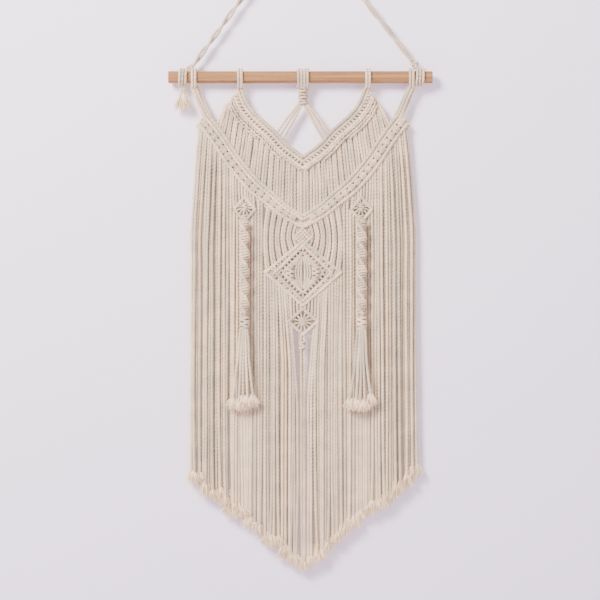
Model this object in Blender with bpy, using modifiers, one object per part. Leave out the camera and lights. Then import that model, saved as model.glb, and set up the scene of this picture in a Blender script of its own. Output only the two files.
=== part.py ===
"""A knotted macrame wall hanging: cotton cord tied on a wooden dowel, which a cord carries from one nail.

Metres, +Z up, +X to the viewer's right, the front faces -Y. The origin is the top of the nail, where the
hanging cord rests. Inside the knotted panel a place is written (across, drop): across from the panel's
middle line, and drop below the underside of the cord loops on the dowel.
"""

import math

import bmesh
import bpy
from mathutils import Matrix, Vector

MM = 0.001
GAP = 0.3 * MM  # left between pieces that touch

# Cord and dowel
CORD = 4.0 * MM
CORD_PITCH = 4.9 * MM  # cords side by side in the fringe
BAND_THICK = 9.0 * MM
DOWEL_LENGTH = 350.0 * MM
DOWEL_DIAMETER = 16.0 * MM
NAIL_TO_DOWEL = 204.0 * MM  # from the nail's top to the dowel's axis
LOOP_DEPTH = DOWEL_DIAMETER / 2 + CORD  # from the dowel's axis to the underside of a loop
PANEL_SHIFT = 3.5 * MM  # the panel's middle line stands a little right of the nail

# Places along the dowel, from its middle
LOOP_OUTER_LEFT, LOOP_OUTER_RIGHT = -141.0 * MM, 147.2 * MM
LOOP_INNER_LEFT, LOOP_INNER_RIGHT = -79.8 * MM, 89.6 * MM
WRAP_TURNS = 3
WRAP_LEFT = LOOP_OUTER_LEFT - 2.5 * CORD - 4.8 * MM
WRAP_RIGHT = LOOP_OUTER_RIGHT + 2.5 * CORD + 1.0 * MM
TIE_KNOT = LOOP_OUTER_RIGHT + CORD + GAP
RING_STEPS = 16  # flats round each turn of cord on the dowel
NAIL_BEND = 8.0 * MM  # radius of the hanging cord over the nail

# Upper and lower V: the top edge of each band on one half, outer end first, as (across, drop)
UPPER_EDGE = [(80, 2), (72, 22), (62, 35), (50, 46), (36, 58.5), (21, 75), (0, 91)]
LOWER_EDGE = [(124, 36), (104, 62), (84, 92), (60, 121), (41, 138), (20, 157), (0, 170)]
UPPER_DEPTH = 19.6 * MM  # width of each band, square to its edge
LOWER_DEPTH = 22.8 * MM
LOWER_PINCH, PINCH_REACH = 0.76, 55.0 * MM  # the lower band narrows to this share towards the middle

# Each band: a pair of cords along its top edge, then rows of knots
PAIR_WIDTH = 9.6 * MM
# Knot rows: name, offset from the top edge, diameter, knot length, outer end left out
UPPER_ROWS = [("upper_lattice", 14.5, 8.8, 14, 9)]
LOWER_ROWS = [("lower_knots", 13.2, 6.0, 12, 0), ("lower_ridge", 19.6, 5.8, 10, 1)]

# The hanging cords between the bands reach this far across at their top and at their foot
PANEL_TOP, PANEL_LOW = 94.0 * MM, 116.0 * MM

# Motifs, as (across, drop) of their middles
SIDE_DIAMOND = (77.2 * MM, 161.3 * MM)
SIDE_DIAMOND_HALF = 17.6 * MM
BIG_DIAMOND_DROP = 247.0 * MM
BIG_DIAMOND_INNER = 30.6 * MM
BIG_DIAMOND_WIDE, BIG_DIAMOND_TOP, BIG_DIAMOND_FOOT = 52.0 * MM, 38.0 * MM, 43.0 * MM
BIG_DIAMOND_ROWS = 3
LEAF_ACROSS, LEAF_HALF = 15.5 * MM, 14.3 * MM
CROSS_DROP, CROSS_HALF = 200.4 * MM, (9.0 * MM, 8.9 * MM)
LAST_DIAMOND_DROP, LAST_DIAMOND_HALF = 310.0 * MM, 17.4 * MM
MOTIF_THICK = 8.0 * MM

# Square-knot braid under the middle of the dowel, and its two legs to the upper V
BRAID_TOP, BRAID_BOTTOM = 3 * GAP, 23.0 * MM
BRAID_WIDTH = 11.0 * MM
LEG_SPREAD = 33.0 * MM

# Spiral braids and tassels, in front of the fringe
SPIRAL_TOP, SPIRAL_BOTTOM = 175.5 * MM, 305.5 * MM
SPIRAL_RADIUS, SPIRAL_PITCH = 6.0 * MM, 44.0 * MM
SPIRAL_FRONT = MOTIF_THICK / 2 + SPIRAL_RADIUS + 0.4 * MM  # its middle, in front of the fringe's middle
TIE_LENGTH, TIE_RADIUS = 17.0 * MM, 5.6 * MM
TIE_SWELLS = (0.8, 1.0, 0.86, 1.0, 0.86, 1.0, 0.4)  # the foot is narrow, so that the tassel can swing
TASSEL_BOTTOM = 428.0 * MM
TASSEL_HALF_TOP, TASSEL_HALF_BOTTOM = 6.0 * MM, 21.5 * MM
TASSEL_CORDS = 8

# Fringe
FRINGE_LOWEST = 641.0 * MM  # drop of the longest cord, in the middle
FRINGE_RISE = 0.82  # the lower edge rises this much for each unit sideways
FRINGE_SIDE_TOP, FRINGE_SIDE_BOTTOM = 146.0 * MM, 151.0 * MM
SIDE_SPLIT, MIDDLE_SPLIT = 103.0 * MM, 53.0 * MM  # where the side and middle curtains end
SIDE_BEND, MIDDLE_BEND = 116.0 * MM, 330.0 * MM  # drops at which those curtains bend
BEND_GAP = 0.97 * MM  # between a curtain and its roots, room for it to lift
SLIT_HALF, SLIT_DROP = 10.0 * MM, 388.0 * MM  # the narrow opening under the last diamond

# Tail of the hanging cord
TAIL_LENGTH, TAIL_HALF_WIDTH = 34.0 * MM, 10.0 * MM

COTTON = (0.76, 0.68, 0.58)
BEECH = (0.62, 0.41, 0.26)
SIDES = (("left", -1), ("right", 1))


def clear_scene():
    for obj in list(bpy.data.objects):
        bpy.data.objects.remove(obj, do_unlink=True)


def collection(name):
    made = bpy.data.collections.new(name)
    bpy.context.scene.collection.children.link(made)
    return made


def material(name, colour, roughness):
    made = bpy.data.materials.new(name)
    made.use_nodes = True
    shader = made.node_tree.nodes["Principled BSDF"]
    shader.inputs["Base Color"].default_value = (*colour, 1)
    shader.inputs["Roughness"].default_value = roughness
    shader.inputs["Metallic"].default_value = 0
    return made


def add(name, data, colour=COTTON, roughness=0.95):
    obj = bpy.data.objects.new(name, data)
    data.materials.append(material(name, colour, roughness))
    PARTS.objects.link(obj)
    return obj


def place(across, drop, front=0.0):
    """A point of the knotted panel, in the object's frame."""
    return Vector((PANEL_SHIFT + across, -front, -NAIL_TO_DOWEL - LOOP_DEPTH - drop))


def tube(name, points, diameter, swell=None):
    """A round cord along 3-D points; swell scales its radius at each point."""
    curve = bpy.data.curves.new(name, "CURVE")
    curve.dimensions = "3D"
    curve.bevel_depth = diameter / 2
    curve.bevel_resolution = 2
    curve.use_fill_caps = True
    spline = curve.splines.new("POLY")
    spline.points.add(len(points) - 1)
    for i, (spot, point) in enumerate(zip(spline.points, points)):
        spot.co = (*point, 1)
        spot.radius = swell[i] if swell else 1
    return add(name, curve)


def smooth_line(points, step):
    """A smooth curve through 2-D points, about one point each step."""
    knots = [Vector(p) for p in points]
    ends = [2 * knots[0] - knots[1]] + knots + [2 * knots[-1] - knots[-2]]
    line = []
    for i in range(1, len(ends) - 2):
        a, b, c, d = ends[i - 1 : i + 3]
        count = max(1, round((c - b).length / step))
        for k in range(count):
            t = k / count
            line.append(
                0.5 * (2 * b + (c - a) * t + (2 * a - 5 * b + 4 * c - d) * t**2
                       + (3 * b - a - 3 * c + d) * t**3)
            )
    return line + [knots[-1]]


def pinched(across, pinch):
    """How much narrower a band is at this distance from the middle."""
    return 1 - (1 - pinch) * max(0.0, 1 - across / PINCH_REACH)


def edge_line(edge):
    return smooth_line([(x * MM, d * MM) for x, d in edge], 6 * MM)


def beside(line, offset, pinch=1.0):
    """The line moved square to itself, down and outwards for a positive offset."""
    moved = []
    for i, point in enumerate(line):
        along = (line[min(i + 1, len(line) - 1)] - line[max(i - 1, 0)]).normalized()
        moved.append(point + offset * pinched(point.x, pinch) * Vector((along.y, -along.x)))
    return moved


def drop_at(line, across):
    """The line's drop at this distance from the middle, carried on past its ends."""
    ordered = sorted(line, key=lambda p: p.x)
    i = next((k for k in range(1, len(ordered) - 1) if ordered[k].x >= across), len(ordered) - 1)
    a, b = ordered[i - 1], ordered[i]
    return a.y + (b.y - a.y) * (across - a.x) / (b.x - a.x)


def cord_sheet(name, rows, radius=CORD / 2, front=0.0, valley=0.55):
    """Cords side by side as one closed sheet. Each row holds the (across, drop) of the cords' borders."""
    mesh = bmesh.new()
    loops = []
    for row in rows:
        face, back = [], []
        for i, (across, drop) in enumerate(row):
            spots = [(across, drop, valley * radius)]
            if i + 1 < len(row):
                after = row[i + 1]
                spots.append(((across + after[0]) / 2, (drop + after[1]) / 2, radius))
            for x, d, depth in spots:
                face.append(mesh.verts.new(place(x, d, front + depth)))
                back.append(mesh.verts.new(place(x, d, front - depth)))
        loops.append((face, back))
    for (face, back), (next_face, next_back) in zip(loops, loops[1:]):
        for upper, lower in ((face, next_face), (back, next_back)):
            for i in range(len(upper) - 1):
                mesh.faces.new((upper[i], upper[i + 1], lower[i + 1], lower[i]))
        for end in (0, -1):
            mesh.faces.new((face[end], back[end], next_back[end], next_face[end]))
    for face, back in (loops[0], loops[-1]):
        for i in range(len(face) - 1):
            mesh.faces.new((face[i], face[i + 1], back[i + 1], back[i]))
    bmesh.ops.recalc_face_normals(mesh, faces=mesh.faces)
    data = bpy.data.meshes.new(name)
    mesh.to_mesh(data)
    mesh.free()
    return add(name, data)


def borders(start, end, drop, pitch=CORD_PITCH):
    """Cord borders from start to end; drop is a number or a rule that gives it from across."""
    count = max(1, round(abs(end - start) / pitch))
    places = [start + (end - start) * i / count for i in range(count + 1)]
    return [(x, drop(abs(x)) if callable(drop) else drop) for x in places]


def spread(row, start, end, drop):
    """The same number of cord borders, spread from start to end at another drop."""
    count = len(row) - 1
    places = [start + (end - start) * i / count for i in range(count + 1)]
    return [(x, drop(abs(x)) if callable(drop) else drop) for x in places]


def to_middle(row, reach):
    """The row, ended at this distance from the middle line."""
    along = (row[-1] - row[-2]).normalized()
    row = [p for p in row if p.x > reach + 2 * MM]
    return row + [row[-1] + along * ((row[-1].x - reach) / -along.x)]


def cord_pair(name, line, sign, pinch):
    """Two smooth cords side by side along the top edge of a band."""
    lanes = [to_middle(beside(line, PAIR_WIDTH * k / 2 + GAP, pinch), GAP) for k in range(3)]
    count = min(len(lane) for lane in lanes)
    lanes = [lane[: count - 1] + [lane[-1]] for lane in lanes]
    rows = [[(sign * lane[k].x, lane[k].y) for lane in lanes] for k in range(count)]
    cord_sheet(name, rows, radius=BAND_THICK / 2, valley=0.6)


def band(rows, line, sign, side, pinch):
    """The knot rows of one half of a V, each its own piece, up to the middle line."""
    for name, offset, diameter, knot, trim in rows:
        row = beside(line, offset * MM, pinch)
        radius = diameter * MM / 2
        while trim and row[0].x > line[0].x + offset * MM - trim * MM and len(row) > 4:
            row = row[1:]
        along = (row[-1] - row[-2]).normalized()
        row, swell = knotted(to_middle(row, radius * along.y + GAP), knot * MM)
        points = [place(sign * p.x, p.y, 1 * MM) for p in row]
        narrowed = [s * pinched(p.x, pinch) for s, p in zip(swell, row)]
        tube(f"{name}_{side}", points, 2 * radius, narrowed)


def knotted(row, length):
    """The row in even steps, full at each knot and a little thinner between two."""
    steps = [0.0]
    for a, b in zip(row, row[1:]):
        steps.append(steps[-1] + (b - a).length)
    count = 2 * max(1, round(steps[-1] / length))
    made = []
    for k in range(count + 1):
        where = steps[-1] * k / count
        i = max(1, next((j for j, s in enumerate(steps) if s >= where - 1e-9), len(steps) - 1))
        share = (where - steps[i - 1]) / (steps[i] - steps[i - 1])
        made.append(row[i - 1].lerp(row[i], min(1, share)))
    return made, [1.0 if k % 2 else 0.8 for k in range(count + 1)]


def ring(name, middle, turns):
    """Turns of cord round the dowel, side by side, turned about the dowel's axis."""
    inner = (DOWEL_DIAMETER / 2 + GAP) / math.cos(math.pi / RING_STEPS)
    width = turns * CORD
    profile = [(inner, -width / 2), (inner, width / 2)]
    for turn in reversed(range(turns)):
        centre = -width / 2 + (turn + 0.5) * CORD
        for angle in (35, -35):
            reach = inner + CORD / 2 + CORD / 2 * math.cos(math.radians(angle))
            profile.append((reach, centre + CORD / 2 * math.sin(math.radians(angle))))
    data = bpy.data.meshes.new(name)
    count = len(profile)
    data.from_pydata(
        [(r, 0, z) for r, z in profile], [(i, (i + 1) % count) for i in range(count)], []
    )
    obj = add(name, data)
    screw = obj.modifiers.new("turn", "SCREW")
    screw.steps = screw.render_steps = RING_STEPS
    screw.use_merge_vertices = False
    screw.use_normal_calculate = True
    obj.matrix_world = Matrix.Translation((middle, 0, -NAIL_TO_DOWEL)) @ Matrix.Rotation(
        math.radians(90), 4, "Y"
    )
    return obj


def lozenge(name, across, drop, half, holes=()):
    """A knotted diamond: a flat cushion on its corner, with the small openings between its knots."""
    half_wide, half_high = half
    mesh = bmesh.new()
    corners = ((0, -half_high), (half_wide, 0), (0, half_high), (-half_wide, 0))
    front = mesh.faces.new([mesh.verts.new(place(across + x, drop + d, MOTIF_THICK / 2)) for x, d in corners])
    back = bmesh.ops.extrude_face_region(mesh, geom=[front])["geom"]
    moved = [v for v in back if isinstance(v, bmesh.types.BMVert)]
    bmesh.ops.translate(mesh, verts=moved, vec=(0, MOTIF_THICK, 0))
    bmesh.ops.recalc_face_normals(mesh, faces=mesh.faces)
    data = bpy.data.meshes.new(name)
    mesh.to_mesh(data)
    mesh.free()
    obj = add(name, data)
    bevel = obj.modifiers.new("round", "BEVEL")
    bevel.width = 1.6 * MM
    bevel.segments = 2
    if holes:
        cut = obj.modifiers.new("openings", "BOOLEAN")
        cut.operation = "DIFFERENCE"
        cut.solver = "EXACT"
        cut.object = drill(f"{name}_cutter", [(across + x, drop + d) for x, d in holes])
    return obj


def drill(name, spots):
    """Round cutters through the panel at these places."""
    mesh = bmesh.new()
    for across, drop in spots:
        turn = Matrix.Rotation(math.radians(90), 4, "X")
        bmesh.ops.create_cone(
            mesh, cap_ends=True, segments=6, radius1=1.2 * MM, radius2=1.2 * MM,
            depth=3 * MOTIF_THICK, matrix=Matrix.Translation(place(across, drop)) @ turn,
        )
    data = bpy.data.meshes.new(name)
    mesh.to_mesh(data)
    mesh.free()
    obj = bpy.data.objects.new(name, data)
    obj.hide_render = True
    obj.display_type = "WIRE"
    CUTTERS.objects.link(obj)
    return obj


def hole_ring(half, per_side):
    """Places of the openings along the four sides of a diamond."""
    spots = []
    for turn in range(4):
        start = Vector((0, -half)) if turn % 2 == 0 else Vector((half, 0))
        end = Vector((half, 0)) if turn % 2 == 0 else Vector((0, half))
        flip = -1 if turn > 1 else 1
        for k in range(per_side):
            spot = start.lerp(end, (k + 0.5) / per_side)
            spots.append((flip * spot.x, spot.y))
    return spots


def make_dowel():
    bpy.ops.mesh.primitive_cylinder_add(
        vertices=32, radius=DOWEL_DIAMETER / 2, depth=DOWEL_LENGTH,
        location=(0, 0, -NAIL_TO_DOWEL), rotation=(0, math.radians(90), 0),
    )
    dowel = bpy.context.object
    dowel.name = dowel.data.name = "dowel"
    dowel.data.materials.append(material("dowel", BEECH, 0.55))
    for holder in list(dowel.users_collection):
        holder.objects.unlink(dowel)
    PARTS.objects.link(dowel)
    bevel = dowel.modifiers.new("eased_ends", "BEVEL")
    bevel.width = 0.5 * MM
    bevel.limit_method = "ANGLE"
    dowel.data.shade_smooth()
    dowel.data.set_sharp_from_angle(angle=math.radians(40))


def hanger_route(end_left, end_right):
    """The hanging cord's route: up from the left wrap, over the nail and down to the knot on the right."""
    arc_height = CORD / 2 - NAIL_BEND
    left, right = end_left[-1], end_right[0]
    centre = Vector((0, arc_height))
    points = list(end_left)
    from_left = (centre - left).angle_signed(Vector((1, 0)))
    from_right = (centre - right).angle_signed(Vector((-1, 0)))
    first, last = 90 + math.degrees(abs(from_left)), 90 - math.degrees(abs(from_right))
    straight = round((centre - left).length / (3 * CORD))
    touch_left = centre + NAIL_BEND * Vector((math.cos(math.radians(first)), math.sin(math.radians(first))))
    touch_right = centre + NAIL_BEND * Vector((math.cos(math.radians(last)), math.sin(math.radians(last))))
    points += [left.lerp(touch_left, k / straight) for k in range(1, straight)]
    for k in range(9):
        angle = math.radians(first + (last - first) * k / 8)
        points.append(centre + NAIL_BEND * Vector((math.cos(angle), math.sin(angle))))
    points += [touch_right.lerp(right, k / straight) for k in range(1, straight)]
    return points + list(end_right)


def make_hanger():
    """Two cords side by side over the nail, wrapped round the dowel at both ends, with a knot and a tail."""
    over_loop = -NAIL_TO_DOWEL + DOWEL_DIAMETER / 2 + CORD + GAP
    wrap_edge = WRAP_LEFT + WRAP_TURNS * CORD / 2
    start_left = Vector((wrap_edge, over_loop))
    end_left = [start_left + CORD * Vector(p) for p in ((0.18, -0.35), (1.12, 0.43), (2.2, 1.15))]
    knot_radius = 1.15 * CORD
    knot_middle = Vector((TIE_KNOT, over_loop + knot_radius - 0.2 * MM))
    end_right = [knot_middle + knot_radius * Vector(p) for p in ((-1.17, 1.65), (-0.72, 1.02))]
    route = hanger_route(end_left, end_right)
    for name, depth in (("hanger_cord_front", -1), ("hanger_cord_back", 1)):
        y = depth * (CORD / 2 + GAP / 2)
        tube(name, [(p.x, y, p.y) for p in route], CORD)
    ring("hanger_wrap_left", WRAP_LEFT, WRAP_TURNS)
    ring("hanger_wrap_right", WRAP_RIGHT, WRAP_TURNS)
    swells = ((-0.75, 0.55), (-0.4, 0.9), (0, 1.0), (0.4, 0.9), (0.75, 0.55))
    points = [(knot_middle.x + knot_radius * along, 0, knot_middle.y) for along, _ in swells]
    tube("hanger_knot", points, 2 * knot_radius, [swell for _, swell in swells])
    across = WRAP_LEFT - PANEL_SHIFT
    narrow = 2.5 * MM
    rows = [borders(across - narrow, across + narrow, 2 * GAP, 1.7 * MM)]
    for share in (0.35, 1.0):
        half = TAIL_HALF_WIDTH * share + narrow * (1 - share)
        rows.append(spread(rows[0], across - half, across + half, 2 * GAP + TAIL_LENGTH * share))
    cord_sheet("hanger_tail", rows, radius=2.6 * MM)


def make_mounting():
    """The cords' loops over the dowel, the two outer straps and the square-knot braid in the middle."""
    loops = (("loop_outer_left", LOOP_OUTER_LEFT, 2), ("loop_inner_left", LOOP_INNER_LEFT, 2),
             ("loop_middle", PANEL_SHIFT, 4), ("loop_inner_right", LOOP_INNER_RIGHT, 2),
             ("loop_outer_right", LOOP_OUTER_RIGHT, 2))
    for name, middle, turns in loops:
        ring(name, middle, turns)
    line = edge_line(LOWER_EDGE)
    along = (line[1] - line[0]).normalized()
    for (side, sign), middle in zip(SIDES, (LOOP_OUTER_LEFT, LOOP_OUTER_RIGHT)):
        outer = middle - PANEL_SHIFT
        start = borders(outer - CORD, outer + CORD, 2 * GAP, CORD)
        end = []
        for across in (0.9, 4.9, 8.9) if sign > 0 else (8.9, 4.9, 0.9):
            spot = line[0] + across * MM * Vector((along.y, -along.x)) - along * 2 * GAP
            end.append((sign * spot.x, spot.y))
        cord_sheet(f"strap_{side}", [start, end])
    rows = []
    for k in range(9):
        swell = 1.0 if k % 2 else 0.78
        drop = BRAID_TOP + (BRAID_BOTTOM - BRAID_TOP) * k / 8
        half = BRAID_WIDTH / 2 * swell
        rows.append(borders(-half, half, drop, BRAID_WIDTH / 3) if not rows else spread(rows[0], -half, half, drop))
    cord_sheet("middle_braid", rows, radius=3.4 * MM)
    edge = edge_line(UPPER_EDGE)
    for side, sign in SIDES:
        start = borders(sign * GAP, sign * BRAID_WIDTH * 0.45, BRAID_BOTTOM + GAP, 2.4 * MM)
        ends = []
        for x in (LEG_SPREAD - 3 * MM, LEG_SPREAD + 0.5 * MM, LEG_SPREAD + 4 * MM)[: len(start)]:
            ends.append((sign * x, drop_at(edge, x) - 2.2 * GAP))
        cord_sheet(f"middle_leg_{side}", [start, ends], radius=CORD / 2)


def make_bands():
    for side, sign in SIDES:
        for name, edge, rows, pinch in (("upper", UPPER_EDGE, UPPER_ROWS, 1.0),
                                        ("lower", LOWER_EDGE, LOWER_ROWS, LOWER_PINCH)):
            line = edge_line(edge)
            cord_pair(f"{name}_pair_{side}", line, sign, pinch)
            band(rows, line, sign, side, pinch)


def edges():
    """The foot of the upper band, then the top and the foot of the lower band, on one half."""
    lower = edge_line(LOWER_EDGE)
    return beside(edge_line(UPPER_EDGE), UPPER_DEPTH), lower, beside(lower, LOWER_DEPTH, LOWER_PINCH)


def make_panels(upper_bottom, lower_top):
    """The hanging cords between the two Vs: upright in the middle and slanted at the sides."""
    for side, sign in SIDES:
        top = borders(sign * GAP, sign * PANEL_TOP, lambda x: drop_at(upper_bottom, x) + 2 * GAP, 4.1 * MM)
        low = spread(top, sign * GAP, sign * PANEL_LOW, lambda x: drop_at(lower_top, x) - 2 * GAP)
        cord_sheet(f"panel_{side}", [top, low])


def make_side_motifs(lower_bottom):
    """Each side: a small diamond, the cords that lead into it, a spiral braid, its tie and a tassel."""
    across, drop = SIDE_DIAMOND
    for side, sign in SIDES:
        half = (SIDE_DIAMOND_HALF, SIDE_DIAMOND_HALF)
        lozenge(f"side_diamond_{side}", sign * across, drop, half, hole_ring(SIDE_DIAMOND_HALF * 0.52, 2))

        def over_diamond(x):
            return drop - (SIDE_DIAMOND_HALF - abs(x - across)) - 2.4 * GAP

        inner, outer = across - SIDE_DIAMOND_HALF * 0.94, across + SIDE_DIAMOND_HALF * 0.92
        top = borders(sign * inner, sign * outer, lambda x: drop_at(lower_bottom, x) + 2 * GAP, 4.1 * MM)
        cord_sheet(f"diamond_leads_{side}", [top, spread(top, sign * inner, sign * outer, over_diamond)])
        spiral(f"spiral_braid_{side}", sign * across)
        steps = len(TIE_SWELLS) - 1
        tie = [SPIRAL_BOTTOM + GAP + TIE_LENGTH * k / steps for k in range(steps + 1)]
        points = [place(sign * across, d, SPIRAL_FRONT) for d in tie]
        tube(f"tassel_tie_{side}", points, 2 * TIE_RADIUS, TIE_SWELLS)
        start = tie[-1] + 2 * GAP
        rows = [borders(sign * across - TASSEL_HALF_TOP, sign * across + TASSEL_HALF_TOP, start,
                        2 * TASSEL_HALF_TOP / TASSEL_CORDS)]
        for share, spreading in ((0.5, 0.32), (1.0, 1.0)):
            wide = TASSEL_HALF_TOP + (TASSEL_HALF_BOTTOM - TASSEL_HALF_TOP) * spreading
            low = start + (TASSEL_BOTTOM - start) * share
            rows.append(spread(rows[0], sign * across - wide, sign * across + wide, low))
        cord_sheet(f"tassel_{side}", rows, radius=4.2 * MM, front=SPIRAL_FRONT, valley=0.8)


def spiral(name, across):
    """A half-knot braid, whose knots climb round it as a two-start screw."""
    mesh = bmesh.new()
    levels, around = 30, 8
    rings = []
    for level in range(levels + 1):
        drop = SPIRAL_TOP + GAP + (SPIRAL_BOTTOM - SPIRAL_TOP - GAP) * level / levels
        turn = 2 * math.pi * (drop - SPIRAL_TOP) / SPIRAL_PITCH
        loop = []
        for k in range(around):
            angle = 2 * math.pi * k / around
            radius = SPIRAL_RADIUS * (0.86 - 0.14 * math.cos(2 * (angle - turn)))
            spot = place(across + radius * math.cos(angle), drop, SPIRAL_FRONT + radius * math.sin(angle))
            loop.append(mesh.verts.new(spot))
        rings.append(loop)
    for upper, lower in zip(rings, rings[1:]):
        for k in range(around):
            after = (k + 1) % around
            mesh.faces.new((upper[k], upper[after], lower[after], lower[k]))
    mesh.faces.new(rings[0])
    mesh.faces.new(rings[-1])
    bmesh.ops.recalc_face_normals(mesh, faces=mesh.faces)
    data = bpy.data.meshes.new(name)
    mesh.to_mesh(data)
    mesh.free()
    return add(name, data)


def under_big(across):
    """The drop just under the big diamond's lower edge, and under its corner beyond that."""
    return BIG_DIAMOND_DROP + BIG_DIAMOND_FOOT * max(0.0, 1 - across / BIG_DIAMOND_WIDE) + 2 * GAP


def big_diamond_half(name, sign):
    """Three rows of knots down one half of the big diamond, from its top corner to its bottom corner."""
    lanes = []
    for k in range(BIG_DIAMOND_ROWS + 1):
        wide, top, foot = (
            BIG_DIAMOND_INNER + (far - BIG_DIAMOND_INNER) * k / BIG_DIAMOND_ROWS
            for far in (BIG_DIAMOND_WIDE, BIG_DIAMOND_TOP, BIG_DIAMOND_FOOT)
        )
        lane = []
        for step in range(-4, 5):
            across = max(GAP, wide * (1 - abs(step) / 4))
            rise = (foot if step > 0 else -top) * (1 - across / wide)
            lane.append((sign * across, BIG_DIAMOND_DROP + rise))
        lanes.append(lane)
    cord_sheet(name, [list(row) for row in zip(*lanes)], radius=BAND_THICK / 2, valley=0.7)


def make_middle_motifs(lower_bottom):
    """Down the middle: a knot patch, the bowed cords, the big diamond with two leaves, and the last diamond."""
    lozenge("cross_knot", 0, CROSS_DROP, CROSS_HALF)
    middle = BIG_DIAMOND_DROP
    for side, sign in SIDES:
        big_diamond_half(f"big_diamond_{side}", sign)
        lozenge(f"leaf_{side}", sign * LEAF_ACROSS, middle, (LEAF_HALF, LEAF_HALF), hole_ring(LEAF_HALF * 0.5, 1))

        def over_big(x):
            return middle - BIG_DIAMOND_TOP * (1 - x / BIG_DIAMOND_WIDE) - 2 * GAP

        start = (CROSS_HALF[0] + 2 * GAP, MIDDLE_SPLIT - 1.5 * MM)
        top = borders(sign * start[0], sign * start[1], lambda x: drop_at(lower_bottom, x) + 2 * GAP, 4.4 * MM)
        bowed = spread(top, sign * (start[0] + 2.4 * MM), sign * (MIDDLE_SPLIT - 0.6 * MM),
                       lambda x: 0.45 * over_big(x) + 0.55 * drop_at(lower_bottom, x))
        low = spread(top, sign * start[0], sign * (BIG_DIAMOND_WIDE - 2 * MM), over_big)
        cord_sheet(f"bowed_cords_{side}", [top, bowed, low])

        def over_last(x):
            return LAST_DIAMOND_DROP - (LAST_DIAMOND_HALF - x) - 2.4 * GAP

        inner, outer = CORD, LAST_DIAMOND_HALF - MM
        row = borders(sign * inner, sign * outer, under_big, 4.1 * MM)
        cord_sheet(f"neck_cords_{side}", [row, spread(row, sign * inner, sign * outer, over_last)])
    lozenge("last_diamond", 0, LAST_DIAMOND_DROP, (LAST_DIAMOND_HALF, LAST_DIAMOND_HALF),
            hole_ring(LAST_DIAMOND_HALF * 0.52, 2))


def hem(across):
    """The drop of the fringe's cut ends at this distance from the middle."""
    return FRINGE_LOWEST - FRINGE_RISE * across


def make_fringe(lower_bottom):
    """The free cords: outer curtains, the strips behind the spiral braids and the middle curtains."""
    corner = SIDE_DIAMOND_HALF + GAP

    def under_band(x):
        return drop_at(lower_bottom, x) + 2 * GAP

    def under_side_diamond(x):
        return SIDE_DIAMOND[1] + corner - abs(x - SIDE_DIAMOND[0]) + 2 * GAP

    def under_last_diamond(x):
        return LAST_DIAMOND_DROP + (LAST_DIAMOND_HALF - x) + 3 * GAP

    for side, sign in SIDES:
        top = borders(sign * (SIDE_SPLIT + GAP), sign * (FRINGE_SIDE_TOP - 8 * MM), under_band, 4.1 * MM)
        bend = spread(top, sign * (SIDE_SPLIT + GAP), sign * FRINGE_SIDE_TOP, SIDE_BEND)
        cord_sheet(f"fringe_roots_{side}", [top, bend])
        rows = [spread(top, sign * (SIDE_SPLIT + GAP), sign * FRINGE_SIDE_TOP, SIDE_BEND + BEND_GAP),
                spread(top, sign * (SIDE_SPLIT + GAP), sign * FRINGE_SIDE_BOTTOM, hem)]
        cord_sheet(f"fringe_outer_{side}", rows)
        near, far = SIDE_DIAMOND[0] - corner, SIDE_DIAMOND[0] + corner
        top = borders(sign * (MIDDLE_SPLIT + GAP), sign * (near - 2 * GAP), under_band)
        top += borders(sign * near, sign * SIDE_DIAMOND[0], under_side_diamond)
        top += borders(sign * SIDE_DIAMOND[0], sign * far, under_side_diamond)[1:]
        top += borders(sign * (far + 2 * GAP), sign * (SIDE_SPLIT - GAP), under_band)
        cord_sheet(f"fringe_side_{side}", [top, [(x, hem(abs(x))) for x, _ in top]])
        inner, outer = SLIT_HALF, MIDDLE_SPLIT - GAP
        top = borders(sign * inner, sign * (LAST_DIAMOND_HALF + GAP), under_last_diamond)
        top += borders(sign * (LAST_DIAMOND_HALF + 3 * GAP), sign * outer, under_big)
        cord_sheet(f"middle_roots_{side}", [top, [(x, MIDDLE_BEND) for x, _ in top]])
        closed = CORD + 2 * GAP
        rows = [[(x, MIDDLE_BEND + BEND_GAP) for x, _ in top],
                spread(top, sign * closed, sign * outer, SLIT_DROP),
                spread(top, sign * closed, sign * outer, hem)]
        cord_sheet(f"fringe_middle_{side}", rows)
    top = borders(-CORD, CORD, MIDDLE_BEND + BEND_GAP, CORD)
    cord_sheet("fringe_centre_cords", [top, spread(top, -CORD, CORD, hem)])


def hinge(name, spot, pieces):
    """An empty on a joint's axis, which carries the pieces and hinges that turn about it."""
    empty = bpy.data.objects.new(name, None)
    empty.location = spot
    empty.empty_display_size = 5 * MM
    PARTS.objects.link(empty)
    for piece in pieces:
        piece.parent = empty
        piece.matrix_parent_inverse = Matrix.Translation(-spot)
    return empty


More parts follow.
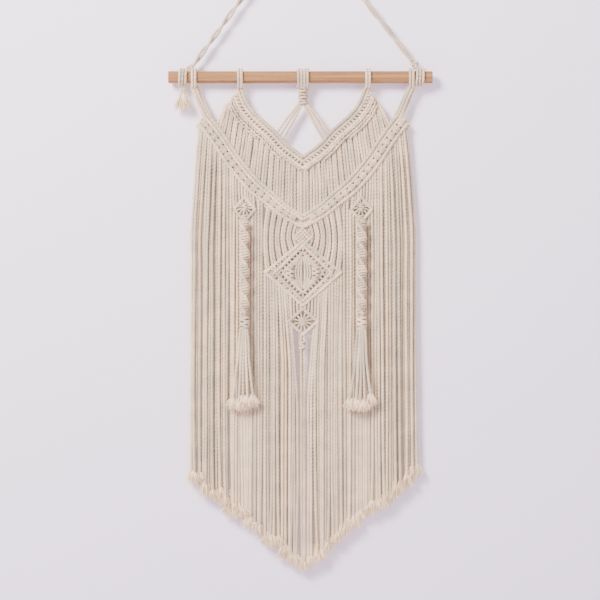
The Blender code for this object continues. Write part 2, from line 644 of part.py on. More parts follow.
def make_hinges():
    """Where parts swing: the dowel's axis, the roots of the curtains and the ends of the spiral braids."""
    made = bpy.data.objects
    dowel_axis = Vector((0, 0, -NAIL_TO_DOWEL))
    held = [obj for obj in PARTS.objects if obj.name.startswith("hanger_")] + [made["dowel"]]
    hinges = []
    for side, sign in SIDES:
        across = sign * SIDE_DIAMOND[0]
        tie_foot = place(across, SPIRAL_BOTTOM + GAP + TIE_LENGTH, SPIRAL_FRONT)
        tassel = hinge(f"{side}_tassel_swing", tie_foot, [made[f"tassel_{side}"]])
        braid_top = place(across, SPIRAL_TOP + GAP, SPIRAL_FRONT - SPIRAL_RADIUS)
        braid = [made[f"spiral_braid_{side}"], made[f"tassel_tie_{side}"], tassel]
        hinges.append(hinge(f"{side}_braid_swing", braid_top, braid))
        outer_roots = place(sign * (SIDE_SPLIT + FRINGE_SIDE_TOP) / 2, SIDE_BEND)
        hinges.append(hinge(f"fringe_{side}_lift", outer_roots, [made[f"fringe_outer_{side}"]]))
    middle = [made["fringe_middle_left"], made["fringe_middle_right"], made["fringe_centre_cords"]]
    hinges.append(hinge("fringe_middle_lift", place(0, MIDDLE_BEND), middle))
    panel = [obj for obj in PARTS.objects if obj.type != "EMPTY" and not obj.parent and obj not in held]
    hinge("panel_swing", dowel_axis, panel + hinges)
    hinge("tail_swing", dowel_axis + Vector((WRAP_LEFT, 0, 0)), [made["hanger_tail"]])


clear_scene()
PARTS = collection("macrame_wall_hanging")
CUTTERS = collection("cutters")
make_dowel()
make_hanger()
make_mounting()
make_bands()
UPPER_BOTTOM, LOWER_TOP, LOWER_BOTTOM = edges()
make_panels(UPPER_BOTTOM, LOWER_TOP)
make_side_motifs(LOWER_BOTTOM)
make_middle_motifs(LOWER_BOTTOM)
make_fringe(LOWER_BOTTOM)
make_hinges()
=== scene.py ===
"""A knotted macrame wall hanging: twisted cotton cord on a beech dowel, in front of a pale wall.

A place on it is (across, drop, front): across from the panel's middle line, drop below the dowel's axis, and
how far in front of the fringe's middle it lies. `spot` turns that into x, y and z.
"""

import math

import bpy
import numpy as np
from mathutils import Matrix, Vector


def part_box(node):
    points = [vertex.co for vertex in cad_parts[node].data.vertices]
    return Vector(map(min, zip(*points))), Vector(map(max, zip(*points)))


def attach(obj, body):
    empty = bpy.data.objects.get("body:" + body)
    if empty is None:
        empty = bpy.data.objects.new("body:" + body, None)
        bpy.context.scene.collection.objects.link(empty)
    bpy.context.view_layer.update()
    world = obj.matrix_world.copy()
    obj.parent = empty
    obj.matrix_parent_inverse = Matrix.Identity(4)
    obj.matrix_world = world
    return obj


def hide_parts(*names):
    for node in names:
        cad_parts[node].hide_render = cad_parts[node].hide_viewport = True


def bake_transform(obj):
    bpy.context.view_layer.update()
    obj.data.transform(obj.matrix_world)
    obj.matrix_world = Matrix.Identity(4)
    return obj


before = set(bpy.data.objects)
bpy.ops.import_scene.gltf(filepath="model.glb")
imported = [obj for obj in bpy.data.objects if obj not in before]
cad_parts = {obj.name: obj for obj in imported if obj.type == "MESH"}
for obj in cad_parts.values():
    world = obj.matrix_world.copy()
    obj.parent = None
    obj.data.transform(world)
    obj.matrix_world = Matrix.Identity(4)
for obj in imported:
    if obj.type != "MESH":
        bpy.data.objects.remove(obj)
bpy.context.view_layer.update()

MM = 0.001
TURN = 2 * math.pi
RNG = np.random.default_rng(11)
SIDES = (("left", -1), ("right", 1))


def stray(spread, size=None):
    """Small random differences, as handwork has them."""
    return RNG.normal(0, spread, size)


def box_mm(node):
    """The low and the high corner of a node of the frame, in millimetres."""
    return (np.array(corner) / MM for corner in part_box(node))


# Sizes of the object, measured on its frame
DOWEL_LOW, DOWEL_HIGH = box_mm("dowel")
DOWEL_Z = (DOWEL_LOW[2] + DOWEL_HIGH[2]) / 2
DOWEL_RADIUS = (DOWEL_HIGH[2] - DOWEL_LOW[2]) / 2
MIDDLE_X = (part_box("big_diamond_left")[1][0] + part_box("big_diamond_right")[0][0]) / 2 / MM
CORD = 4.0
RING = DOWEL_RADIUS + 0.35 + CORD / 2  # middle of a turn of cord round the dowel

# The hanging cord over the nail
NAIL_REACH = 8.0  # from the nail's middle to the middle of the cords round it
TWIST_PITCH = 62.0  # the two cords turn once round each other in this length
STRAIGHT = 16.0  # they lie side by side this far on both sides of the nail
PAIR_HALF = 2.08  # half the distance between them

# The top edges of the two V bands, outer end first, as (across, drop)
UPPER_EDGE = [(80, 14), (72, 34), (62, 47), (50, 58), (36, 70.5), (21, 87), (0, 103)]
LOWER_EDGE = [(124, 48), (104, 74), (84, 104), (60, 133), (41, 150), (20, 169), (0, 182)]
LOWER_PINCH, PINCH_REACH = 0.76, 55.0  # the lower band narrows to this share, from this far to the middle
LOWER_WIDE = 22.8
PANEL_CORDS = 32  # on each side, between the bands

# The knotted shapes: the middle of each as (across, drop) or as its drop, and their edges
SIDE_DIAMOND, SIDE_REACH = (77.4, 175.4), 18.4
BRAID_TOP, BRAID_FOOT, BRAID_FRONT = 191.0, 317.0, 10.4
PATCH_DROP = 212.0
BIG_DROP = 259.0
BIG_TOP, BIG_WIDE = 38.0, 52.0  # its upper edge, where the bowed cords end
BIG_FOOT, BIG_FOOT_WIDE = 41.0, 48.2  # its lower edge, where the neck and the fringe start
LAST_DROP, LAST_REACH = 324.0, 19.4

# The fringe: its lower end as (across, drop), and the drops and the length of the stretch given for each
# curtain's hinge
HEM = [(0, 652), (30, 632), (74, 589), (126, 553), (150, 528)]
OUTER_HINGE, MIDDLE_HINGE, HINGE_LENGTH = 125.5, 339.5, 6.0


def spot(across, drop, front=0.0):
    return np.array([MIDDLE_X + across, -front, DOWEL_Z - drop])


def places(sign, *points):
    """Places given as (across, drop, front), to the left with a sign of -1 and to the right with 1."""
    return [spot(sign * across, drop, front) for across, drop, front in points]


def unit(ways):
    """The same directions, each with a length of one."""
    return ways / np.linalg.norm(ways, axis=-1, keepdims=True)


def square_to(ways):
    """2-D directions turned by a right angle."""
    return np.stack([ways[..., 1], -ways[..., 0]], -1)


def run_of(line):
    """How far along the line each of its points lies."""
    return np.concatenate([[0], np.cumsum(np.linalg.norm(np.diff(line, axis=0), axis=1))])


def smooth(points, step):
    """A smooth curve through the points, in even steps."""
    knots = np.array(points, float)
    ends = np.vstack([2 * knots[0] - knots[1], knots, 2 * knots[-1] - knots[-2]])
    share = np.linspace(0, 1, 10, endpoint=False)[:, None]
    fine = []
    for a, b, c, d in zip(ends, ends[1:], ends[2:], ends[3:]):
        fine.append(0.5 * (2 * b + (c - a) * share + (2 * a - 5 * b + 4 * c - d) * share**2
                           + (3 * b - a - 3 * c + d) * share**3))
    fine = np.vstack(fine + [knots[-1:]])
    along = run_of(fine)
    count = max(2, int(round(along[-1] / step)) + 1)
    even = np.linspace(0, along[-1], count)
    return np.stack([np.interp(even, along, fine[:, k]) for k in range(fine.shape[1])], 1)


def beside(line, offset, pinch=1.0):
    """A 2-D line moved square to itself, down and outwards."""
    narrow = 1 - (1 - pinch) * np.clip(1 - line[:, 0] / PINCH_REACH, 0, None)
    return line + (offset * narrow)[:, None] * square_to(unit(np.gradient(line, axis=0)))


def drop_at(line, across):
    """The line's drop at this distance from the middle."""
    order = np.argsort(line[:, 0])
    return np.interp(across, line[order, 0], line[order, 1])


def add_object(name, data):
    obj = bpy.data.objects.new(name, data)
    bpy.context.scene.collection.objects.link(obj)
    return obj


class Skein:
    """Cords and fibres gathered into one mesh."""

    def __init__(self, name):
        self.name = name
        self.points, self.loops, self.totals, self.uvs, self.tones, self.crease_shades = [], [], [], [], [], []
        self.size = 0

    def add(self, rings, closed, tone, lengths, crease_shades=None):
        """A tube given as rings of points, n by m by 3, with caps at its open ends."""
        n, m = rings.shape[:2]
        index = self.size + np.arange(n * m).reshape(n, m)
        self.points.append(rings.reshape(-1, 3))
        self.tones.append(np.full(n * m, tone))
        # Painted shade for each point: one deep in the grooves between plies or hitches, nothing on their
        # crowns.
        self.crease_shades.append(np.zeros(n * m) if crease_shades is None else crease_shades.ravel())
        self.size += n * m
        if closed:
            index = np.vstack([index, index[:1]])
            lengths = np.append(lengths, lengths[-1] + lengths[1] - lengths[0])
        after = np.roll(index, -1, axis=1)
        quads = np.stack([index[:-1], after[:-1], after[1:], index[1:]], -1).reshape(-1, 4)
        u0, u1 = np.repeat(lengths[:-1], m), np.repeat(lengths[1:], m)
        v0 = np.tile(np.arange(m) / m, len(index) - 1)
        v1 = v0 + 1 / m
        corners = [np.stack(corner, 1) for corner in ((u0, v0), (u0, v1), (u1, v1), (u1, v0))]
        self.loops.append(quads.ravel())
        self.totals.append(np.full(len(quads), 4))
        self.uvs.append(np.stack(corners, 1).reshape(-1, 2))
        if not closed:
            for cap, where in ((index[0][::-1], lengths[0]), (index[-1], lengths[-1])):
                self.loops.append(cap)
                self.totals.append(np.array([m]))
                self.uvs.append(np.stack([np.full(m, where), np.arange(m) / m], 1))

    def sweep(self, path, radius, shape, turn=0.0, sides=12, closed=False, swell=None, squash=1.0):
        """A tube along the path; shape(along, angle) scales its radius, turn is its twist in radians a mm."""
        path = np.asarray(path, float)
        if closed:
            tangent = unit(np.roll(path, -1, axis=0) - np.roll(path, 1, axis=0))
        else:
            tangent = unit(np.gradient(path, axis=0))
        axis = np.eye(3)[np.argmin(np.abs(tangent).max(axis=0))]
        normal = unit(axis - tangent * (tangent @ axis)[:, None])
        side = np.cross(tangent, normal)
        along = run_of(path)
        angle = TURN * np.arange(sides) / sides
        start = RNG.uniform(0, TURN)
        if closed and turn:
            whole = along[-1] + along[1]
            thirds = max(1, round(turn * whole / TURN * 3))  # a third of a turn brings ply to ply
            turn = thirds * TURN / 3 / whole
        around = angle[None, :] + turn * along[:, None] + (start if turn else 0)
        form = shape(along[:, None], angle[None, :])
        reach = radius * form
        if swell is not None:
            reach = reach * np.asarray(swell)[:, None]
        ring = (np.cos(around) * reach)[..., None] * normal[:, None] \
            + (np.sin(around) * reach)[..., None] * side[:, None]
        ring[..., 1] *= squash
        # The grooves of the outline also go out as painted shade, which darkens the colour there.
        self.add(path[:, None] + ring, closed, RNG.uniform(), along / 10, np.clip((1 - form) / 0.3, 0, 1))

    def cord(self, points, diameter=CORD, step=1.6, depth=0.26, pitch=15.0, closed=False, swell=None,
             sides=12):
        """A cord through the points, with the lobed outline of three twisted plies."""
        path = np.asarray(points, float) if closed else smooth(points, step)
        if swell is not None:
            swell = np.interp(np.linspace(0, 1, len(path)), np.linspace(0, 1, len(swell)), swell)

        def plies(along, angle):
            return 1 - depth + depth * np.abs(np.cos(1.5 * angle)) + 0 * along

        self.sweep(path, diameter / 2, plies, TURN / pitch, sides, closed, swell)

    def back_cord(self, points, diameter=4.2, step=4):
        """A plainer cord of the layer behind, which shows only in the gaps."""
        self.cord(points, diameter, step=step, sides=6)

    def ridge(self, points, radius, pitch, groove=0.2, squash=0.85):
        """A row of half hitches: a filler cord hidden under the turns of the cords that are tied round it."""
        wander = RNG.uniform(0, 6, 4)

        def hitches(along, angle):
            where = along / pitch + 0.45 * np.cos(angle + 0.6)
            uneven = 0.04 * np.sin(2.1 * where + wander[0]) + 0.03 * np.sin(0.7 * where + wander[1])
            return 1 - groove * (1 - np.abs(np.sin(math.pi * where)) ** 0.55) + uneven

        self.sweep(smooth(points, 0.5), radius, hitches, sides=14, squash=squash)

    def turn_round(self, centre, wide, deep, diameter, tilt=0.0, spin=0.0, roll=0.0):
        """One turn of cord round upright cords: tilt leans its ends, spin turns it about the upright."""
        t = np.linspace(0, TURN, 22, endpoint=False)
        x = wide * np.sign(np.cos(t)) * np.abs(np.cos(t)) ** 0.85
        y = deep * np.sign(np.sin(t)) * np.abs(np.sin(t)) ** 0.85
        z = x * math.tan(tilt) * -np.sign(y) * np.abs(y / deep) ** 0.5
        cs, sn = math.cos(spin), math.sin(spin)
        x, y = cs * x - sn * y, sn * x + cs * y
        cr, sr = math.cos(roll), math.sin(roll)
        x, z = cr * x - sr * z, sr * x + cr * z
        self.cord(np.stack([x, y, z], 1) + centre, diameter, closed=True, depth=0.2, pitch=9.0, sides=9)

    def fibres(self, starts, ways, lengths, bends, width, sides, wave):
        """Thin tapered fibres, that leave the starts along the ways and bend aside."""
        n = len(starts)
        share = np.linspace(0, 1, 7)
        middle = (starts[:, None] + unit(ways)[:, None] * (lengths[:, None] * share)[..., None]
                  + bends[:, None] * (share**2)[None, :, None])
        curl = RNG.uniform(0, TURN, n)[:, None] + 7.5 * share
        curls = np.stack([np.cos(curl), 0.7 * np.sin(curl), 0 * curl], 2)
        middle += wave * np.sqrt(share)[None, :, None] * curls
        angle = TURN * np.arange(sides) / sides
        flat = np.stack([np.cos(angle), np.sin(angle), 0 * angle], 1)
        thin = width * (1 - 0.6 * share**2)
        rings = middle[:, :, None] + flat[None, None] * thin[None, :, None, None]
        for k in range(n):
            self.add(rings[k], False, RNG.uniform(0.6, 3.2), share)

    def fray(self, tip, way, length, count, radius, flare, flat=1.0):
        """A cord's cut end, opened into strands and fibres; flat keeps them near the cord's own layer."""
        way = unit(np.asarray(way, float))
        for strands, width, sides, wave in ((count // 4, 0.72, 5, 0.55), (count // 2, 0.34, 3, 0.35)):
            angle = RNG.uniform(0, TURN, strands)
            reach = radius * np.sqrt(RNG.uniform(0, 1, strands))
            out = np.stack([np.cos(angle), flat * np.sin(angle), 0 * angle], 1)
            starts = tip + 0.8 * out * reach[:, None] - way * RNG.uniform(0.5, 5.0, strands)[:, None]
            lean = out * (reach / radius * flare)[:, None] + stray(0.10, (strands, 3)) * (1, flat, 1)
            lengths = length * RNG.uniform(0.62, 1.08, strands)
            bends = stray(1.0, (strands, 3)) * np.array([1.8, 1.5 * flat, 1.2])
            self.fibres(starts, way + lean, lengths, bends, width, sides, wave)

    def build(self, material, body=None, nodes=(), blend=None):
        """The finished mesh, on its body, or with its transform baked in where a blend is given."""
        points = np.concatenate(self.points) * MM
        loops = np.concatenate(self.loops).astype(np.int32)
        totals = np.concatenate(self.totals)
        mesh = bpy.data.meshes.new(self.name)
        mesh.vertices.add(len(points))
        mesh.vertices.foreach_set("co", points.astype(np.float32).ravel())
        mesh.loops.add(len(loops))
        mesh.loops.foreach_set("vertex_index", loops)
        mesh.polygons.add(len(totals))
        starts = np.concatenate([[0], np.cumsum(totals)[:-1]]).astype(np.int32)
        mesh.polygons.foreach_set("loop_start", starts)
        mesh.polygons.foreach_set("use_smooth", np.ones(len(totals), bool))
        layer = mesh.uv_layers.new(name="cord")
        layer.data.foreach_set("uv", np.concatenate(self.uvs).astype(np.float32).ravel())
        # Both are read by the material: a tone that differs at random, and the painted shade of the grooves.
        for name, values in (("tone", self.tones), ("crease_shade", self.crease_shades)):
            attribute = mesh.attributes.new(name, "FLOAT", "POINT")
            attribute.data.foreach_set("value", np.concatenate(values).astype(np.float32))
        mesh.update(calc_edges=True)
        mesh.validate()
        obj = add_object(self.name, mesh)
        mesh.materials.append(material)
        if blend:
            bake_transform(obj)
        elif body:
            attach(obj, body)
        if nodes:
            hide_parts(*nodes)
        return obj

    def tie(self, node=None, body="panel"):
        """Builds the skein as knotted cord, in place of this node or of the node with the skein's name."""
        return self.build(COTTON, body, [node or self.name])


# Materials


def new_material(name, roughness):
    material = bpy.data.materials.new(name)
    material.use_nodes = True
    shader = material.node_tree.nodes["Principled BSDF"]
    shader.inputs["Roughness"].default_value = roughness
    return material, material.node_tree, shader


def add_node(tree, kind, values=(), **settings):
    """A shader node with these settings and these values on its inputs."""
    node = tree.nodes.new("ShaderNode" + kind)
    for name, value in settings.items():
        setattr(node, name, value)
    for name, value in dict(values).items():
        node.inputs[name].default_value = value
    return node


def join(tree, *links):
    """Joins an output of one node to an input of another, for each link."""
    for source, output, target, value in links:
        tree.links.new(source.outputs[output], target.inputs[value])


def noise(tree, source, output, detail, scale=1.0, stretch=None):
    """A noise texture over the source's coordinates, which may be stretched first."""
    if stretch:
        mapping = add_node(tree, "Mapping", {"Scale": stretch})
        join(tree, (source, output, mapping, "Vector"))
        source, output = mapping, "Vector"
    texture = add_node(tree, "TexNoise", {"Scale": scale, "Detail": detail})
    join(tree, (source, output, texture, "Vector"))
    return texture


def ramp(tree, stops):
    node = add_node(tree, "ValToRGB")
    elements = node.color_ramp.elements
    while len(elements) < len(stops):
        elements.new(0.5)
    for element, (position, colour) in zip(elements, stops):
        element.position = position
        element.color = (*colour, 1)
    return node


def roughen(tree, texture, strength, distance):
    """The texture as small bumps on the surface."""
    bump = add_node(tree, "Bump", {"Strength": strength, "Distance": distance})
    join(tree, (texture, "Fac", bump, "Height"), (bump, "Normal", tree.nodes["Principled BSDF"], "Normal"))


def cotton(name, light, dark):
    """Cream cotton yarn: fine fibres along it, a slow change of tone, and painted shade in the grooves
    between its plies.
    """
    material, tree, shader = new_material(name, 0.92)
    for socket, value in (("Sheen Weight", 0.08), ("Sheen Roughness", 0.6), ("Specular IOR Level", 0.15)):
        shader.inputs[socket].default_value = value
    fibre = noise(tree, add_node(tree, "UVMap", uv_map="cord"), "UV", 3.0, stretch=(3.0, 34.0, 1.0))
    blotch = noise(tree, add_node(tree, "TexCoord"), "Object", 4.0, scale=45.0)
    tone = add_node(tree, "Attribute", attribute_name="tone")
    # Painted shade: this darkens the colour in the grooves between plies and hitches.
    crease_shade = add_node(tree, "Attribute", attribute_name="crease_shade")
    mixed = None
    for source, weight in ((tone, 0.24), (blotch, 0.50), (fibre, 0.30), (crease_shade, -0.22)):
        weighed = add_node(tree, "Math", {1: weight, 2: 0.0}, operation="MULTIPLY_ADD")
        join(tree, (source, "Fac", weighed, 0))
        if mixed:
            join(tree, (mixed, "Value", weighed, 2))
        mixed = weighed
    middle = tuple((a + b) / 2 for a, b in zip(light, dark))
    bright = tuple(min(1, 1.26 * c) for c in light)
    colour = ramp(tree, [(0.22, dark), (0.44, middle), (0.58, light), (0.80, bright)])
    join(tree, (mixed, "Value", colour, "Fac"), (colour, "Color", shader, "Base Color"))
    roughen(tree, fibre, 0.5, 0.0004)
    return material


def beech(name):
    """Bare beech: warm tan, with fine straight grain and small dark flecks along the rod."""
    material, tree, shader = new_material(name, 0.6)
    shader.inputs["Specular IOR Level"].default_value = 0.3
    where = add_node(tree, "TexCoord")
    grain = noise(tree, where, "Object", 6.0, stretch=(5.0, 260.0, 260.0))
    fleck = noise(tree, where, "Object", 2.0, stretch=(90.0, 900.0, 900.0))
    colour = ramp(tree, [(0.3, (0.20, 0.083, 0.026)), (0.5, (0.30, 0.144, 0.05)), (0.7, (0.39, 0.205, 0.08))])
    speck = ramp(tree, [(0.30, (0.55, 0.5, 0.45)), (0.42, (1, 1, 1))])
    both = add_node(tree, "Mix", {"Factor": 0.6}, data_type="RGBA", blend_type="MULTIPLY")
    join(tree, (grain, "Fac", colour, "Fac"), (fleck, "Fac", speck, "Fac"), (colour, "Color", both, "A"),
         (speck, "Color", both, "B"), (both, "Result", shader, "Base Color"))
    roughen(tree, grain, 0.25, 0.0003)
    return material


def painted_wall():
    """Pale paint, with painted shade that makes it a little darker towards the floor."""
    material, tree, shader = new_material("painted_wall", 0.9)
    roughen(tree, add_node(tree, "TexNoise", {"Scale": 160.0}), 0.08, 0.0005)
    # Painted shade: the colour darkens downwards, towards the floor, which takes the darkest colour.
    place = add_node(tree, "TexCoord")
    height = add_node(tree, "SeparateXYZ")
    share = add_node(tree, "MapRange", {"From Min": -1.0, "From Max": -0.1})
    shade = ramp(tree, [(0.0, (0.775, 0.70, 0.83)), (1.0, (0.94, 0.852, 0.995))])
    join(tree, (place, "Object", height, "Vector"), (height, "Z", share, "Value"),
         (share, "Result", shade, "Fac"), (shade, "Color", shader, "Base Color"))
    # The wall has one side only and lets the back light through, so that views from behind show the back
    facing = add_node(tree, "NewGeometry")
    ray = add_node(tree, "LightPath")
    either = add_node(tree, "Math", operation="MAXIMUM")
    clear = add_node(tree, "BsdfTransparent")
    one_sided = add_node(tree, "MixShader")
    join(tree, (facing, "Backfacing", either, 0), (ray, "Is Shadow Ray", either, 1),
         (either, "Value", one_sided, "Fac"), (shader, "BSDF", one_sided, 1), (clear, "BSDF", one_sided, 2),
         (one_sided, "Shader", tree.nodes["Material Output"], "Surface"))
    return material


COTTON = cotton("cotton_cord", (0.80, 0.597, 0.402), (0.41, 0.35, 0.268))
FLUFF = cotton("cotton_fibre", (0.80, 0.612, 0.408), (0.43, 0.365, 0.275))
BEECH = beech("beech")


# The camera, the light and the wall, in metres


def look_at(obj, target):
    obj.rotation_euler = (Vector(target) - obj.location).to_track_quat("-Z", "Y").to_euler()


def make_camera():
    data = bpy.data.cameras.new("camera")
    camera = add_object("camera", data)
    middle = (-0.0005, 0.0, -0.4994)
    distance, width = 2.4, 0.7955  # the picture is this wide at the hanging
    camera.location = (middle[0], middle[1] - distance, middle[2])
    look_at(camera, middle)
    data.sensor_width = 36.0
    data.lens = data.sensor_width * distance / width
    data.clip_end = 20
    bpy.context.scene.camera = camera


def area(name, place, target, size, watts, colour):
    data = bpy.data.lights.new(name, "AREA")
    data.shape = "RECTANGLE"
    data.size = data.size_y = size
    data.energy = watts
    data.color = colour
    light = add_object(name, data)
    light.location = place
    look_at(light, target)


def make_studio():
    world = bpy.data.worlds.new("world")
    bpy.context.scene.world = world
    world.use_nodes = True
    background = world.node_tree.nodes["Background"]
    background.inputs["Color"].default_value = (1.0, 0.945, 0.99, 1)
    background.inputs["Strength"].default_value = 0.70
    area("key", (-1.3, -1.9, 0.9), (0, 0, -0.45), 0.9, 195, (1.0, 0.965, 0.95))
    area("back", (0.9, 2.1, 0.2), (0, 0, -0.45), 1.4, 85, (1.0, 0.98, 0.97))
    area("fill", (1.7, -2.1, -0.2), (0, 0, -0.5), 1.6, 20, (0.99, 0.97, 1.0))
    paint = painted_wall()
    wall_y, reach, room_front, floor_z, wall_top = 0.0130, 2.2, -3.0, -1.35, 1.2
    floor_line = [(-reach, wall_y, floor_z), (reach, wall_y, floor_z)]
    for name, corners in (
        ("wall", floor_line + [(reach, wall_y, wall_top), (-reach, wall_y, wall_top)]),
        ("floor", [(-reach, room_front, floor_z), (reach, room_front, floor_z)] + floor_line[::-1]),
    ):
        mesh = bpy.data.meshes.new(name)
        mesh.from_pydata(corners, [], [(0, 1, 2, 3)])
        mesh.materials.append(paint)
        add_object(name, mesh)


# The hanging cord and what is tied to the dowel


def hanger_route():
    """The hanging cord: from the left wrap over the nail to the knot on the right, as (x, z)."""
    over = DOWEL_Z + DOWEL_RADIUS + CORD + 0.3
    left = [(-149.08, over - 1.4), (-145.3, over + 1.72), (-141.0, over + 4.6)]
    right = [(146.1, over + 12.0), (148.2, over + 9.1)]
    nail_z = CORD / 2 - NAIL_REACH
    start, end = left[-1], right[0]
    first = math.pi - math.atan2(-start[0], nail_z - start[1])
    last = math.atan2(end[0], nail_z - end[1])
    arc = [(NAIL_REACH * math.cos(a), nail_z + NAIL_REACH * math.sin(a)) for a in np.linspace(first, last, 9)]

    def leg(a, b):
        return [(a[0] + (b[0] - a[0]) * k / 18, a[1] + (b[1] - a[1]) * k / 18) for k in range(1, 18)]

    return left + leg(start, arc[0]) + arc + leg(arc[-1], end) + right


def make_hanging_cords():
    """The doubled cord over the nail, built cord by cord."""
    route = smooth(hanger_route(), 2.0)
    along = run_of(route)
    past_nail = along - along[np.argmax(route[:, 1])]
    across = square_to(unit(np.gradient(route, axis=0)))
    twisted = np.sign(past_nail) * np.clip(np.abs(past_nail) - STRAIGHT, 0, None)
    turn = TURN * twisted / TWIST_PITCH
    for name, flip in (("front", -1), ("back", 1)):
        aside = flip * PAIR_HALF * np.sin(turn)
        deep = flip * PAIR_HALF * np.cos(turn)
        path = np.stack([route[:, 0] + across[:, 0] * aside, deep, route[:, 1] + across[:, 1] * aside], 1)
        skein = Skein(f"hanging_cord_{name}")
        skein.cord(path[::2], pitch=14.0, depth=0.24)
        cord = skein.build(COTTON, "hanger", [f"hanger_cord_{name}"])
        line = smooth(path[::2], 3.0)


def turns_over_dowel(skein, node, tails):
    """Turns of cord side by side round the dowel; with tails they hang down in front and behind."""
    low, high = box_mm(node)
    for k in range(max(1, round((high[0] - low[0]) / CORD))):
        x = low[0] + CORD * (k + 0.5)
        if tails:
            sweep = np.radians(np.linspace(-38, 218, 12))
            points = [(x, -RING * math.cos(a), DOWEL_Z + RING * math.sin(a)) for a in sweep]
            points = [(x, -4.2, DOWEL_Z - 14.5)] + points + [(x, 4.2, DOWEL_Z - 14.5)]
            skein.cord(points, 3.9, step=1.3)
        else:
            sweep = np.linspace(0, TURN, 40, endpoint=False)
            lean = 0.7 * np.sin(sweep + 0.4)
            ring = np.stack([x + lean, -RING * np.cos(sweep), DOWEL_Z + RING * np.sin(sweep)], 1)
            skein.cord(ring, 3.9, closed=True)


def make_hanger_ends():
    """The wraps at both ends of the dowel, the knot on the right and the frayed tail on the left."""
    for side, _ in SIDES:
        skein = Skein(f"wrap_{side}")
        turns_over_dowel(skein, f"hanger_wrap_{side}", False)
        skein.build(COTTON, "hanger", [f"hanger_wrap_{side}"])

    low, high = box_mm("hanger_knot")
    t = np.linspace(0, TURN, 90, endpoint=False)
    size = 1.45
    trefoil = np.stack([size * (np.sin(t) + 2 * np.sin(2 * t)), size * 1.1 * np.sin(3 * t),
                        size * (np.cos(t) - 2 * np.cos(2 * t))], 1)
    skein = Skein("hanging_cord_knot")
    skein.cord(trefoil + (low + high) / 2, 3.6, closed=True)
    skein.build(COTTON, "hanger", ["hanger_knot"])

    low, high = box_mm("hanger_tail")
    x, top = (low[0] + high[0]) / 2, high[2]
    skein = Skein("hanging_cord_tail")
    for aside, front in ((-1.7, 0.0), (1.5, 1.2)):
        tip = np.array([x + 2.0 * aside, -1.5 * front, top - 15])
        skein.cord([(x + aside, -front, top - 0.5), (x + 1.4 * aside, -1.2 * front, top - 8), tip], 3.8,
                   swell=[1, 1, 1.15])
        skein.fray(tip, (0.10 * aside, 0, -1), 19, 130, 2.9, 0.32)
    skein.build(FLUFF, "tail", ["hanger_tail"])


def make_loops():
    """The cords over the dowel that carry the panel, and the straps under the outer two."""
    for place in ("outer_left", "inner_left", "middle", "inner_right", "outer_right"):
        skein = Skein(f"loop_{place}")
        turns_over_dowel(skein, f"loop_{place}", True)
        skein.tie()
    corner, after = smooth(LOWER_EDGE, 2.0)[:2]
    along = unit(after - corner)
    for side, sign in SIDES:
        low, high = box_mm(f"loop_outer_{side}")
        middle = (low[0] + high[0]) / 2 - MIDDLE_X
        skein = Skein(f"strap_{side}")
        for aside, front, lane in ((-3.4, -2.6, 10.6), (-1.9, 3.2, 7.4), (1.9, 3.2, 3.9), (3.6, -2.6, 0.6)):
            end = corner + lane * square_to(along) + 4 * along
            start = (middle - sign * aside, 12.5)
            halfway = (0.5 * (start[0] + sign * end[0]) + sign * 0.4, 0.5 * (start[1] + end[1]))
            skein.cord([spot(*start, front), spot(*halfway, 0.4 * front + 0.8),
                        spot(sign * end[0], end[1], 1.2)], 4.1)
        skein.tie()


def make_middle_braid():
    """A short square-knot braid under the middle loop, and its two legs to the upper V."""
    skein = Skein("middle_braid")
    for aside in (-3.6, -1.3, 1.3, 3.6):
        skein.cord([spot(aside * 1.3, 13.0, 3.5), spot(aside, 17, 2.0), spot(0.7 * aside, 27, 1.5),
                    spot(aside, 36, 1)], 3.2)
    for drop, wide, tilt in ((15.0, 4.3, -0.16), (18.8, 4.3, 0.16), (23.0, 4.3, -0.16), (27.2, 4.3, 0.16),
                             (31.4, 4.3, -0.16), (34.6, 5.0, 0.16)):
        skein.turn_round(spot(0, drop, 1.6), wide, 3.4, 3.5, tilt=tilt)
    for top in (14.8, 23.2, 31.6):
        for sign in (-1, 1):
            skein.cord(places(sign, (4.0, top, 1.5), (6.0, top + 2.7, 1.5), (4.0, top + 5.4, 1.5)), 2.8)
    skein.tie()
    edge = smooth(UPPER_EDGE, 2.0)
    for side, sign in SIDES:
        skein = Skein(f"middle_leg_{side}")
        for top, foot, bow in ((0.6, 27.0, -0.6), (2.8, 30.8, 0.0), (5.0, 34.6, 0.6)):
            low = drop_at(edge, foot)
            halfway = (0.5 * (top + foot) + bow, 0.5 * (36 + low) - 0.6 * bow, 1.2)
            skein.cord(places(sign, (top, 34.5, 1.2), halfway, (foot, low + 2, 0.6)), 3.9)
        skein.tie()


# The two V bands and the cords between them


def lane_of(edge, offset, pinch=1.0, trim=0.0):
    """A line beside a band's top edge, as (across, drop), from its trimmed outer end to the middle."""
    lane = beside(edge, offset, pinch)
    lane = lane[lane[:, 0] > -0.5]
    if lane[-1, 0] > 0.3:
        way = unit(lane[-1] - lane[-2])
        lane = np.vstack([lane, lane[-1] + way * lane[-1, 0] / -way[0]])
    return lane[run_of(lane) >= trim]


def raised(lane, sign, front):
    """A lane's places in space."""
    return places(sign, *((across, drop, front) for across, drop in lane))


def ridges(skein, edge, sign, rows, pinch=1.0):
    """Ridges beside a band's top edge."""
    for offset, front, radius, pitch, groove, squash, trim in rows:
        lane = raised(lane_of(edge, offset, pinch, trim), sign, front)
        skein.ridge(lane, radius, pitch, groove, squash)


